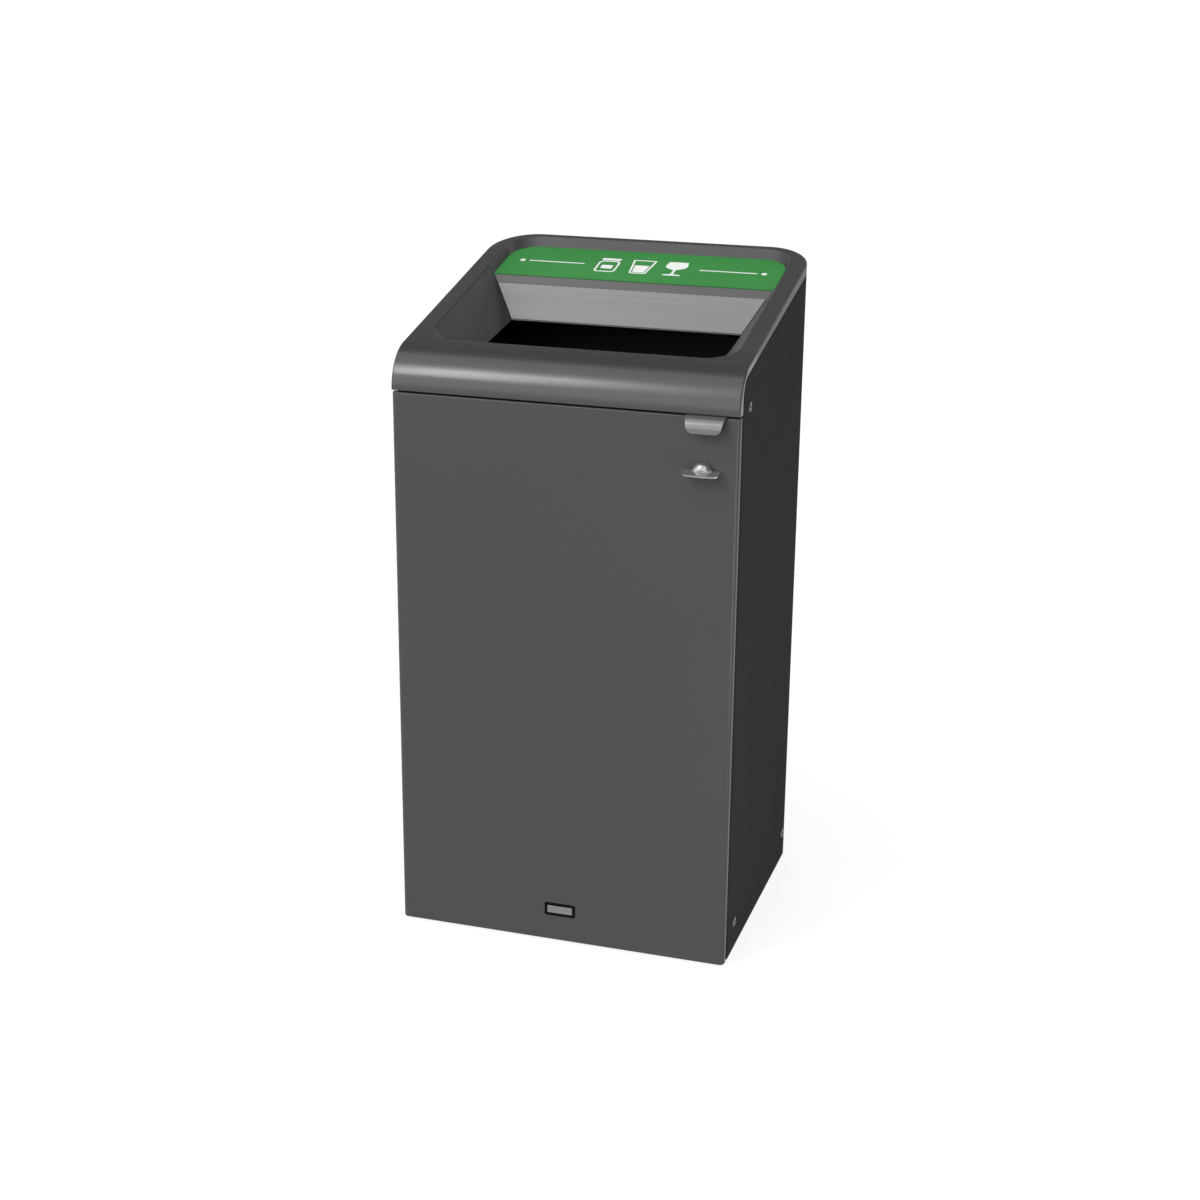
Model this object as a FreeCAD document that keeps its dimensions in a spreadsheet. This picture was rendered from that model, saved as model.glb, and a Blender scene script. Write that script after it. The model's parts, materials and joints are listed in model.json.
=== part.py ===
import FreeCAD
import Part
import math
import os
import re
import Sketcher
from FreeCAD import Placement, Rotation, Vector

# A free-standing glass recycling bin: a wrapped steel body, a moulded lid with a chute,
# a hinged door with a thumb turn, and a rigid liner inside.
# Millimetres. X runs across, Y from the door to the back, Z up. The floor is Z = 0.

SIZES = {
    # Body
    "width": 417.0,
    "depth": 384.0,
    "stand": 3.0,
    "sheet": 1.2,
    "corner_radius": 58.0,
    "front_bend": 6.0,
    "front_flange": 20.0,
    "shell_nose": 23.0,
    "inner_fit": 0.3,
    # Base pan and rails
    "pan_lift": 2.0,
    "pan_height": 60.0,
    "pan_sill": 20.0,
    "pan_wall": 1.5,
    "rail_wall": 1.5,
    "rail_top": 40.0,
    "rail_foot": 14.0,
    "rail_rise": 19.6,
    "rail_height": 42.0,
    "rear_rail_inset": 78.5,
    "rear_rail_drop": 24.3,
    "rear_rail_web": 35.0,
    "rear_rail_shelf": 40.0,
    # Lid
    "lid_gap": 2.6,
    "lid_rise": 43.3,
    "lid_slope": 0.2337,
    "lid_roll": 50.0,
    "lid_edge": 2.0,
    "lid_wall": 3.0,
    "seam_rise": 35.8,
    "seam_slope": 0.2153,
    "seam": 1.8,
    "boss_radius": 6.0,
    "front_boss_side": 58.5,
    "front_boss_y": 40.0,
    "rear_boss_side": 98.5,
    "rear_boss_tail": 22.0,
    # Chute
    "chute_start": 52.0,
    "chute_tail": 107.0,
    "chute_side": 22.2,
    "chute_round": 38.0,
    "chute_lip": 3.5,
    "throat_start": 80.0,
    "throat_tail": 136.0,
    "throat_side": 60.5,
    "throat_round": 25.0,
    "throat_drop": 34.85,
    "throat_tilt": 8.0,
    "plate_thick": 1.2,
    "plate_edge": 1.5,
    "plate_side": 0.8,
    "plate_head": 24.0,
    # Sign
    "sign_lip": 4.5,
    "sign_tail": 19.0,
    "sign_side": 27.5,
    "sign_round": 34.0,
    "sign_depth": 9.3,
    "sign_thick": 1.0,
    "sign_fit": 0.4,
    "sign_floor": 4.0,
    "sign_overhang": 5.0,
    "bevel_run": 10.0,
    "bevel_side": 6.0,
    "bevel_rise": 1.0,
    # Door
    "door_height": 677.4,
    "door_thick": 10.0,
    "door_edge": 6.0,
    "door_lip": 1.5,
    "door_flange": 14.0,
    "stiffener_half": 30.0,
    "stiffener_brim": 12.0,
    "stiffener_deep": 7.0,
    "stiffener_margin": 60.0,
    # Hinge
    "hinge_gap": 4.6,
    "hinge_inset": 2.4,
    "hinge_margin": 37.0,
    "knuckle_radius": 2.0,
    "knuckle_play": 0.5,
    "pin_radius": 1.0,
    "running_fit": 0.05,
    "leaf_width": 15.0,
    "leaf_thick": 1.0,
    "rivet_inset": 4.5,
    "rivet_radius": 1.5,
    "rivet_head_radius": 2.6,
    "rivet_head": 0.9,
    "rivet_tail": 0.8,
    "body_rivet_step": 0.25,
    "door_rivet_step": 0.75,
    # Pull
    "tab_side": 38.5,
    "tab_width": 45.6,
    "tab_taper": 3.6,
    "tab_thick": 1.6,
    "tab_seat": 8.0,
    "tab_reach": 14.5,
    "tab_bend": 13.5,
    "tab_drop": 16.4,
    "tab_round": 8.0,
    # Latch
    "latch_side": 41.2,
    "latch_drop": 61.4,
    "latch_reach": 18.0,
    "rose_radius": 9.2,
    "rose_thick": 1.5,
    "barrel_radius": 6.8,
    "shaft_radius": 4.5,
    "latch_nut_radius": 11.0,
    "latch_nut_thick": 4.0,
    "hub_radius": 6.5,
    "hub_length": 4.0,
    "dome_low": 3.3,
    "dome_radius": 13.0,
    "dome_length": 8.0,
    "dome_round": 7.6,
    "wing_width": 42.0,
    "wing_thick": 1.8,
    "wing_tilt": 12.0,
    "wing_root": 1.0,
    "wing_round": 6.0,
    "wing_bow": 1.5,
    "wing_bow_round": 130.0,
    "cam_thick": 3.0,
    "cam_width": 14.0,
    "cam_length": 31.0,
    "cam_round": 4.5,
    "cam_play": 0.5,
    "strike_thick": 1.5,
    "strike_height": 50.0,
    "strike_width": 12.0,
    "cam_screw_radius": 2.5,
    "cam_screw_head_radius": 5.5,
    "cam_screw_head": 3.0,
    "cam_screw_length": 9.0,
    # Small pieces
    "bumper_radius": 3.5,
    "bumper_inset": 10.5,
    "bumper_rise": 5.0,
    "bumper_high_drop": 120.4,
    "badge_width": 39.0,
    "badge_height": 16.6,
    "badge_thick": 1.2,
    "badge_round": 2.0,
    "badge_height_up": 45.0,
    "screw_radius": 2.5,
    "screw_head_radius": 6.0,
    "screw_crown_radius": 3.6,
    "screw_head": 2.2,
    "screw_length": 10.0,
    "screw_nut_radius": 5.0,
    "screw_nut": 4.0,
    "screw_play": 0.2,
    "upper_screw_y": 42.0,
    "upper_screw_rise": 5.6,
    "lower_screw_y": 46.0,
    "rear_screw_tail": 71.0,
    "lower_screw_drop": 24.0,
    "lid_screw_radius": 2.0,
    "lid_screw_length": 11.0,
    "lid_screw_head_radius": 4.0,
    "lid_screw_head": 2.0,
    "glide_radius": 15.0,
    "glide_side": 23.5,
    "glide_front": 45.0,
    "glide_rear": 85.0,
    "stud_radius": 3.0,
    "stud_length": 9.0,
    "glide_nut_radius": 6.0,
    "glide_nut": 4.0,
    # Liner
    "liner_headroom": 61.5,
    "liner_wall": 2.5,
    "liner_side": 31.5,
    "liner_front": 44.0,
    "liner_tail": 38.0,
    "liner_taper_x": 15.0,
    "liner_taper_y": 14.0,
    "liner_round": 40.0,
    "liner_rim": 7.0,
    "liner_rim_thick": 4.0,
    "hand_hole_width": 100.0,
    "hand_hole_height": 26.0,
    "hand_hole_drop": 22.0,
    "hand_hole_round": 11.5,
}
KNUCKLES = 10
RIVETS = 5
SIDES = (-1, 1)

doc = FreeCAD.newDocument("glass_recycling_bin")
sheet = doc.addObject("Spreadsheet::Sheet", "sizes")
for row, (alias, number) in enumerate(SIZES.items(), 1):
    sheet.set(f"A{row}", alias)
    sheet.set(f"B{row}", str(number))
    sheet.setAlias(f"B{row}", alias)
doc.recompute()

ALIASES = re.compile(r"\b(" + "|".join(sorted(SIZES, key=len, reverse=True)) + r")\b")

# Places that several pieces share, as expressions of the sizes
THROUGH = "(2 * width)"
FRONT = "((latch_reach - depth) / 2)"
BACK = "((latch_reach + depth) / 2)"
DOOR_BACK = f"({FRONT} + door_thick)"
SHELL_FRONT = f"({DOOR_BACK} + hinge_gap)"
FLANGE_BACK = f"({SHELL_FRONT} + sheet)"
DOOR_TOP = "(stand + door_height)"
LID_BOTTOM = f"({DOOR_TOP} + lid_gap)"
HALF = "(width / 2)"
INNER_HALF = f"({HALF} - sheet - inner_fit)"
PAN_FLOOR = "(stand + pan_lift)"
PAN_TOP_FACE = f"({PAN_FLOOR} + pan_wall)"
PAN_HIGH = f"({PAN_FLOOR} + pan_height)"
RAIL_FRONT = f"({SHELL_FRONT} + front_bend + inner_fit)"
RAIL_HIGH = f"({DOOR_TOP} + rail_rise)"
RAIL_LOW = f"({RAIL_HIGH} - rail_height)"
SHELL_BACK_IN = f"({BACK} - sheet)"
HINGE_X = f"(hinge_inset - {HALF})"
HINGE_Y = f"(({DOOR_BACK} + {SHELL_FRONT}) / 2)"
HINGE_LOW = "(stand + hinge_margin)"
HINGE_LENGTH = "(door_height - 2 * hinge_margin)"
KNUCKLE_PITCH = f"({HINGE_LENGTH} / {KNUCKLES})"
RIVET_X = f"({HINGE_X} + leaf_width - rivet_inset)"
LEAN = "sqrt(1 + lid_slope ^ 2)"
CHUTE_HALF = f"({HALF} - chute_side)"
CHUTE_BACK = f"({BACK} - chute_tail)"
CHUTE_START = f"({FRONT} + chute_start)"
THROAT_HALF = f"({HALF} - throat_side)"
THROAT_START = f"({FRONT} + throat_start)"
THROAT_END = f"({BACK} - throat_tail)"
SIGN_HALF = f"({HALF} - sign_side)"
SIGN_START = f"({CHUTE_BACK} - sign_lip)"
SIGN_LENGTH = f"(({BACK} - sign_tail - {SIGN_START}) * {LEAN})"
SEAT_DEPTH = "(sign_depth + sign_thick)"
SHELF_DEPTH = f"({SEAT_DEPTH} + sign_floor)"
TAB_X = f"({HALF} - tab_side)"
LATCH_X = f"({HALF} - latch_side)"
LATCH_Z = f"({DOOR_TOP} - latch_drop)"
ROSE_FRONT = f"({FRONT} - rose_thick)"
DOME_BASE = f"({ROSE_FRONT} - inner_fit)"
CAM_FRONT = f"({FLANGE_BACK} + strike_thick + cam_play)"
CAM_BACK = f"({CAM_FRONT} + cam_thick)"
LINER_TOP_X = f"({HALF} - liner_side)"
LINER_TOP_Y = f"(({BACK} - liner_tail - {FRONT} - liner_front) / 2)"
LINER_Y = f"(({BACK} - liner_tail + {FRONT} + liner_front) / 2)"
LINER_TOP = f"({RAIL_LOW} - liner_headroom)"
SCREW_HOLE = "(screw_radius + screw_play)"
SIDE_SCREWS = (
    (f"({FRONT} + upper_screw_y)", f"({DOOR_TOP} + upper_screw_rise)"),
    (f"({FRONT} + lower_screw_y)", f"({PAN_HIGH} - lower_screw_drop)"),
    (f"({BACK} - rear_screw_tail)", f"({PAN_HIGH} - lower_screw_drop)"),
)
GLIDES = [
    (f"{side} * ({HALF} - glide_side)", y)
    for side in SIDES
    for y in (f"({FRONT} + glide_front)", f"({BACK} - glide_rear)")
]


def rim_at(y):
    """Height of the lid's sloping top at a place along Y."""
    return f"({DOOR_TOP} + lid_rise + lid_slope * ({y} - {FRONT}))"


def seam_at(y):
    """Height of the middle of the gap between lid and body."""
    return f"({DOOR_TOP} + seam_rise + seam_slope * ({y} - {FRONT}))"


THROAT_Z = f"({rim_at(CHUTE_START)} - throat_drop)"
FOOT_Z = f"({THROAT_Z} + ({THROAT_END} - {THROAT_START}) * tan(throat_tilt))"
REAR_RAIL_HIGH = f"({rim_at(f'({BACK} - rear_boss_tail)')} - rear_rail_drop)"
FRONT_BOSSES = [(f"{side} * ({HALF} - front_boss_side)", f"({FRONT} + front_boss_y)") for side in SIDES]
REAR_BOSSES = [(f"{side} * ({HALF} - rear_boss_side)", f"({BACK} - rear_boss_tail)") for side in SIDES]
LID_FIXINGS = [
    *((x, y, RAIL_HIGH) for x, y in FRONT_BOSSES),
    *((x, y, REAR_RAIL_HIGH) for x, y in REAR_BOSSES),
]


def bound(text):
    """An expression with each size turned into its cell in the sheet."""
    return ALIASES.sub(r"sizes.\1", text)


def val(text):
    """The number that an expression of sizes gives now."""
    result = sheet.evalExpression(bound(text))
    return float(getattr(result, "Value", result))


def bind(thing, **properties):
    """Ties properties to expressions; a double underscore stands for a dot."""
    for name, text in properties.items():
        thing.setExpression(name.replace("__", "."), bound(text))


def new_body(label):
    body = doc.addObject("PartDesign::Body", label)
    body.Label = label
    return body


def origin_feature(body, role):
    return next(item for item in body.Origin.OriginFeatures if item.Role == role)


def new_sketch(body, name, plane, lift="0", along=None, up=None, tilt=None):
    """A sketch on an origin plane, moved in its own frame and tilted about its X axis."""
    sketch = body.newObject("Sketcher::SketchObject", name)
    sketch.AttachmentSupport = (origin_feature(body, plane), "")
    sketch.MapMode = "FlatFace"
    if tilt:
        sketch.AttachmentOffset = Placement(Vector(), Rotation(Vector(1, 0, 0), val(tilt)))
        bind(sketch, AttachmentOffset__Rotation__Angle=tilt)
    bind(sketch, AttachmentOffset__Base__z=lift)
    if along:
        bind(sketch, AttachmentOffset__Base__x=along)
    if up:
        bind(sketch, AttachmentOffset__Base__y=up)
    return sketch


def tie_point(sketch, geometry, spot, across, up):
    """Dimensions one point of a sketch from the sketch's origin."""
    for kind, text in (("DistanceX", across), ("DistanceY", up)):
        index = sketch.addConstraint(Sketcher.Constraint(kind, -1, 1, geometry, spot, val(text)))
        sketch.setExpression(f"Constraints[{index}]", bound(text))


def rounded(before, corner, after, radius):
    """Start, middle and end of the arc that rounds a corner."""
    to_before = (before - corner).normalize()
    to_after = (after - corner).normalize()
    half_angle = to_before.getAngle(to_after) / 2
    run = radius / math.tan(half_angle)
    inward = (to_before + to_after).normalize()
    centre = corner + inward * (radius / math.sin(half_angle))
    return corner + to_before * run, centre - inward * radius, corner + to_after * run


def add_corner(sketch, before, after, ends, corner):
    """Joins two runs by the arc that rounds a corner, dimensioned by the corner's own point."""
    across, up, radius = corner
    start, middle, end = ends
    left_turn = (middle - start).cross(end - middle).z > 0
    arc = sketch.addGeometry(Part.Arc(*ends) if left_turn else Part.Arc(end, middle, start), False)
    first, last = (1, 2) if left_turn else (2, 1)
    sketch.addConstraint(Sketcher.Constraint("Tangent", before, 2, arc, first))
    sketch.addConstraint(Sketcher.Constraint("Tangent", arc, last, after, 1))
    index = sketch.addConstraint(Sketcher.Constraint("Radius", arc, val(radius)))
    sketch.setExpression(f"Constraints[{index}]", bound(radius))
    peak = sketch.addGeometry(Part.Point(Vector(val(across), val(up), 0)), True)
    sketch.addConstraint(Sketcher.Constraint("PointOnObject", peak, 1, before))
    sketch.addConstraint(Sketcher.Constraint("PointOnObject", peak, 1, after))
    tie_point(sketch, peak, 1, across, up)


def outline(sketch, corners):
    """A closed loop of straight runs: each corner is (across, up) or (across, up, radius)."""
    spots = [Vector(val(corner[0]), val(corner[1]), 0) for corner in corners]
    count = len(corners)
    ends = []
    for i, corner in enumerate(corners):
        if len(corner) == 3:
            ends.append(rounded(spots[i - 1], spots[i], spots[(i + 1) % count], val(corner[2])))
        else:
            ends.append((spots[i], None, spots[i]))
    lines = []
    for i in range(count):
        run = Part.LineSegment(ends[i][2], ends[(i + 1) % count][0])
        lines.append(sketch.addGeometry(run, False))
    for i, corner in enumerate(corners):
        before, after = lines[i - 1], lines[i]
        if len(corner) == 2:
            sketch.addConstraint(Sketcher.Constraint("Coincident", before, 2, after, 1))
            tie_point(sketch, after, 1, corner[0], corner[1])
            continue
        add_corner(sketch, before, after, ends[i], corner)
    return sketch


def circles(sketch, centres, radius):
    for across, up in centres:
        middle = Vector(val(across), val(up), 0)
        ring = sketch.addGeometry(Part.Circle(middle, Vector(0, 0, 1), val(radius)), False)
        index = sketch.addConstraint(Sketcher.Constraint("Radius", ring, val(radius)))
        sketch.setExpression(f"Constraints[{index}]", bound(radius))
        tie_point(sketch, ring, 3, across, up)
    return sketch


def rectangle(low_x, low_y, high_x, high_y, radius=None):
    corners = ((low_x, low_y), (high_x, low_y), (high_x, high_y), (low_x, high_y))
    if radius is None:
        return corners
    return tuple((x, y, radius) for x, y in corners)


def pad(body, name, sketch, length, both=False, reverse=False):
    feature = body.newObject("PartDesign::Pad", name)
    feature.Profile = sketch
    bind(feature, Length=length)
    feature.SideType = "Symmetric" if both else "One side"
    feature.Reversed = reverse
    doc.recompute()
    return feature


def pocket(body, name, sketch, length, both=False, reverse=False):
    """A cut that has to take something away."""
    volume = body.Shape.Volume
    feature = body.newObject("PartDesign::Pocket", name)
    feature.Profile = sketch
    bind(feature, Length=length)
    feature.SideType = "Symmetric" if both else "One side"
    feature.Reversed = reverse
    doc.recompute()
    if body.Shape.Volume > volume - 1e-3:
        raise RuntimeError(f"{name} cuts nothing")
    return feature


def fillet(body, name, radius, wanted):
    """Rounds the edges of the body's last feature that a test picks out."""
    base = body.Tip
    edges = [f"Edge{i}" for i, edge in enumerate(base.Shape.Edges, 1) if wanted(edge)]
    if not edges:
        raise RuntimeError(f"{name} finds no edge")
    feature = body.newObject("PartDesign::Fillet", name)
    feature.Base = (base, edges)
    bind(feature, Radius=radius)
    doc.recompute()
    return feature


def hollow(body, name, wall, open_face):
    """Leaves a wall of the body's last feature, open where a test of its faces says."""
    base = body.Tip
    faces = [f"Face{i}" for i, face in enumerate(base.Shape.Faces, 1) if open_face(face)]
    feature = body.newObject("PartDesign::Thickness", name)
    feature.Base = (base, faces)
    bind(feature, Value=wall)
    feature.Reversed = True
    doc.recompute()
    return feature


def revolve(body, name, sketch):
    """A full turn about the sketch's own X axis."""
    feature = body.newObject("PartDesign::Revolution", name)
    feature.Profile = sketch
    feature.ReferenceAxis = (sketch, ["H_Axis"])
    feature.Angle = 360
    doc.recompute()
    return feature


def near(a, b):
    return abs(a - b) < 1e-3


def along_axis(edge, axis):
    """Whether an edge is straight and parallel to an axis."""
    run = edge.Vertexes[-1].Point - edge.Vertexes[0].Point
    return near(run.Length, edge.Length) and near(abs(run.dot(axis)), edge.Length)


def upright_at(y):
    """Picks the upright edges at one place along Y."""
    return lambda edge: along_axis(edge, Vector(0, 0, 1)) and near(edge.CenterOfMass.y, val(y))


def across_at(y, z):
    """Picks the edges along X at one place."""
    spot = (val(y), val(z))

    def wanted(edge):
        middle = edge.CenterOfMass
        return along_axis(edge, Vector(1, 0, 0)) and near(middle.y, spot[0]) and near(middle.z, spot[1])

    return wanted


def faces_z(face, up):
    normal = face.normalAt(*face.Surface.parameter(face.CenterOfMass))
    return normal.z * up > 0.99


def level(face):
    return faces_z(face, 1) or faces_z(face, -1)


def stand_at(solid, x, y, z, towards):
    """Stands a round solid at a place, with its axis towards a direction."""
    solid.Placement = Placement(Vector(), Rotation(Vector(0, 0, 1), Vector(*towards)))
    bind(solid, Placement__Base__x=x, Placement__Base__y=y, Placement__Base__z=z)
    return solid


def cylinder(name, radius, length, x, y, z, towards):
    """A round bar that starts at a place and runs towards a direction."""
    bar = doc.addObject("Part::Cylinder", name)
    bind(bar, Radius=radius, Height=length)
    return stand_at(bar, x, y, z, towards)


def joined(kind, name, base, tool):
    feature = doc.addObject(kind, name)
    feature.Base = base
    feature.Tool = tool
    return feature


def screw(name, place, towards, head_radius, head, radius, length, crown=None):
    """A headed pin whose shank runs towards a direction; its head may narrow to a crown."""
    back = tuple(-step for step in towards)
    if crown:
        cap = stand_at(doc.addObject("Part::Cone", f"{name}_head"), *place, back)
        bind(cap, Radius1=head_radius, Radius2=crown, Height=head)
    else:
        cap = cylinder(f"{name}_head", head_radius, head, *place, back)
    shank = cylinder(f"{name}_shank", radius, length, *place, towards)
    return joined("Part::Fuse", name, cap, shank)


def nut(name, place, towards, radius, thick, bore):
    """A hexagon nut with its seat at a place."""
    block = doc.addObject("Part::Prism", f"{name}_block")
    block.Polygon = 6
    bind(block, Circumradius=radius, Height=thick)
    stand_at(block, *place, towards)
    hole = cylinder(f"{name}_bore", bore, thick, *place, towards)
    return joined("Part::Cut", name, block, hole)


def group(label, members):
    """Separate solids that share one node."""
    feature = doc.addObject("Part::Compound", label)
    feature.Label = label
    feature.Links = members
    return feature


def knuckle_span(index):
    return f"({HINGE_LOW} + {index} * {KNUCKLE_PITCH} + knuckle_play / 2)"


def rivet_height(index, offset):
    """Rivets of the two leaves are staggered by half a pitch."""
    return f"({HINGE_LOW} + {HINGE_LENGTH} / {RIVETS} * ({index} + {offset}))"


BODY_RIVETS = [(RIVET_X, rivet_height(i, "body_rivet_step")) for i in range(RIVETS)]
DOOR_RIVETS = [(RIVET_X, rivet_height(i, "door_rivet_step")) for i in range(RIVETS)]


def wrap_shell():
    body = new_body("wrap_shell")
    plan = new_sketch(body, "shell_plan", "XY_Plane", lift="stand")
    outline(plan, rectangle(f"-{HALF}", SHELL_FRONT, HALF, BACK))
    pad(body, "shell_block", plan, f"{seam_at(BACK)} - stand")
    fillet(body, "shell_rear_bends", "corner_radius", upright_at(BACK))
    fillet(body, "shell_front_bends", "front_bend", upright_at(SHELL_FRONT))
    hollow(body, "shell_wall", "sheet", level)
    doorway = new_sketch(body, "shell_doorway", "XZ_Plane", lift=f"-{RAIL_FRONT}")
    clear_half = f"({HALF} - front_flange)"
    outline(doorway, rectangle(f"-{clear_half}", "0", clear_half, seam_at(BACK)))
    pocket(body, "shell_door_cut", doorway, "2 * front_bend", reverse=True)
    top = new_sketch(body, "shell_top", "YZ_Plane")
    outer = f"({SHELL_FRONT} - front_bend)"
    beyond = f"({BACK} + front_bend)"
    over = f"({seam_at(BACK)} + corner_radius)"
    under = f"({seam_at(SHELL_FRONT)} - seam / 2 - 2 * shell_nose)"
    outline(top, (
        (SHELL_FRONT, under),
        (SHELL_FRONT, f"({seam_at(SHELL_FRONT)} - seam / 2)", "shell_nose"),
        (beyond, f"({seam_at(beyond)} - seam / 2)"),
        (beyond, over),
        (outer, over),
        (outer, under),
    ))
    pocket(body, "shell_top_cut", top, THROUGH, both=True)
    holes = circles(new_sketch(body, "shell_screw_holes", "YZ_Plane"), SIDE_SCREWS, SCREW_HOLE)
    pocket(body, "shell_screw_cut", holes, THROUGH, both=True)
    rivets = new_sketch(body, "shell_rivet_holes", "XZ_Plane", lift=f"-{RAIL_FRONT}")
    circles(rivets, BODY_RIVETS, "rivet_radius + running_fit")
    pocket(body, "shell_rivet_cut", rivets, "2 * front_bend", reverse=True)
    return body


def base_pan():
    body = new_body("base_pan")
    pan_front = f"({FLANGE_BACK} + inner_fit)"
    pan_back = f"({SHELL_BACK_IN} - inner_fit)"
    plan = new_sketch(body, "pan_plan", "XY_Plane", lift=PAN_FLOOR)
    outline(plan, rectangle(f"-{INNER_HALF}", pan_front, INNER_HALF, pan_back))
    pad(body, "pan_block", plan, "pan_height")
    fillet(body, "pan_rear_corners", "corner_radius - sheet - inner_fit", upright_at(pan_back))
    fillet(body, "pan_front_corners", "front_bend - sheet - inner_fit", upright_at(pan_front))
    hollow(body, "pan_walls", "pan_wall", lambda face: faces_z(face, 1))
    sill = new_sketch(body, "pan_sill_cut", "XZ_Plane", lift=f"-{RAIL_FRONT}")
    clear_half = f"({HALF} - front_flange)"
    sill_top = f"({PAN_FLOOR} + pan_sill)"
    outline(sill, rectangle(f"-{clear_half}", sill_top, clear_half, f"({PAN_FLOOR} + 2 * pan_height)"))
    pocket(body, "pan_doorway", sill, "2 * front_bend", reverse=True)
    holes = circles(new_sketch(body, "pan_screw_holes", "YZ_Plane"), SIDE_SCREWS[1:], SCREW_HOLE)
    pocket(body, "pan_screw_cut", holes, THROUGH, both=True)
    studs = new_sketch(body, "pan_stud_holes", "XY_Plane", lift=PAN_FLOOR)
    circles(studs, GLIDES, "stud_radius + screw_play")
    pocket(body, "pan_stud_cut", studs, "2 * pan_wall", reverse=True)
    return body


def head_rail():
    body = new_body("head_rail")
    foot = f"({RAIL_FRONT} + rail_foot)"
    rear = f"({RAIL_FRONT} + rail_top)"
    web = f"({RAIL_FRONT} + rail_wall)"
    section = new_sketch(body, "rail_section", "YZ_Plane")
    outline(section, (
        (RAIL_FRONT, RAIL_LOW),
        (foot, RAIL_LOW),
        (foot, f"({RAIL_LOW} + rail_wall)"),
        (web, f"({RAIL_LOW} + rail_wall)"),
        (web, f"({RAIL_HIGH} - rail_wall)"),
        (rear, f"({RAIL_HIGH} - rail_wall)"),
        (rear, RAIL_HIGH),
        (RAIL_FRONT, RAIL_HIGH),
    ))
    pad(body, "rail_channel", section, f"2 * {INNER_HALF}", both=True)
    for side in SIDES:
        end = new_sketch(body, f"rail_end_{side + 1}", "YZ_Plane", lift=f"{side} * {INNER_HALF}")
        outline(end, rectangle(RAIL_FRONT, RAIL_LOW, rear, RAIL_HIGH))
        pad(body, f"rail_end_plate_{side + 1}", end, "rail_wall", reverse=side > 0)
    holes = circles(new_sketch(body, "rail_screw_holes", "YZ_Plane"), SIDE_SCREWS[:1], SCREW_HOLE)
    pocket(body, "rail_screw_cut", holes, THROUGH, both=True)
    lid_holes = new_sketch(body, "rail_lid_holes", "XY_Plane", lift=RAIL_HIGH)
    circles(lid_holes, FRONT_BOSSES, "lid_screw_radius + screw_play")
    pocket(body, "rail_lid_cut", lid_holes, "2 * rail_wall")
    return body


def rear_rail():
    body = new_body("rear_rail")
    lip = f"({SHELL_BACK_IN} - rear_rail_shelf)"
    web = f"({SHELL_BACK_IN} - rail_wall)"
    section = new_sketch(body, "rear_rail_section", "YZ_Plane")
    outline(section, (
        (SHELL_BACK_IN, REAR_RAIL_HIGH),
        (lip, REAR_RAIL_HIGH),
        (lip, f"({REAR_RAIL_HIGH} - rail_wall)"),
        (web, f"({REAR_RAIL_HIGH} - rail_wall)"),
        (web, f"({REAR_RAIL_HIGH} - rear_rail_web)"),
        (SHELL_BACK_IN, f"({REAR_RAIL_HIGH} - rear_rail_web)"),
    ))
    pad(body, "rear_rail_angle", section, "width - 2 * rear_rail_inset", both=True)
    holes = new_sketch(body, "rear_rail_holes", "XY_Plane", lift=REAR_RAIL_HIGH)
    circles(holes, REAR_BOSSES, "lid_screw_radius + screw_play")
    pocket(body, "rear_rail_cut", holes, "2 * rail_wall")
    return body


def chute_loop(half, length, front_round, grow):
    """A loop from a chute's front edge backwards, round at the front, widened by a wall."""
    return (
        (f"-({half} + {grow})", f"-({grow})", f"({front_round} + {grow})"),
        (f"({half} + {grow})", f"-({grow})", f"({front_round} + {grow})"),
        (f"({half} + {grow})", f"({length} + {grow})"),
        (f"-({half} + {grow})", f"({length} + {grow})"),
    )


def rim_sketch(body, name, y, depth):
    """A sketch parallel to the lid's sloping top, some way below it, that starts at a place along Y."""
    lift = f"{rim_at(y)} - ({depth}) * {LEAN}"
    return new_sketch(body, name, "XY_Plane", lift=lift, up=y, tilt="atan(lid_slope)")


def chute_sections(body, name, grow):
    """The chute's loops on the lid's sloping top and at its throat."""
    mouth = rim_sketch(body, f"{name}_mouth", CHUTE_START, "0")
    mouth_length = f"(({CHUTE_BACK} - {CHUTE_START}) * {LEAN})"
    outline(mouth, chute_loop(CHUTE_HALF, mouth_length, "chute_round", grow))
    throat = new_sketch(
        body, f"{name}_throat", "XY_Plane", lift=THROAT_Z, up=THROAT_START, tilt="throat_tilt",
    )
    throat_length = f"(({THROAT_END} - {THROAT_START}) / cos(throat_tilt))"
    outline(throat, chute_loop(THROAT_HALF, throat_length, "throat_round", grow))
    return mouth, throat


def sign_sketch(body, name, depth, side, rear, front):
    """The sign's loop on a plane below the lid's top, grown to the sides, the rear and the front."""
    half = f"({SIGN_HALF} + {side})"
    length = f"({SIGN_LENGTH} + {rear})"
    radius = f"(sign_round + {side})"
    return outline(rim_sketch(body, name, SIGN_START, depth), (
        (f"-{half}", f"-({front})"),
        (half, f"-({front})"),
        (half, length, radius),
        (f"-{half}", length, radius),
    ))


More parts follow.
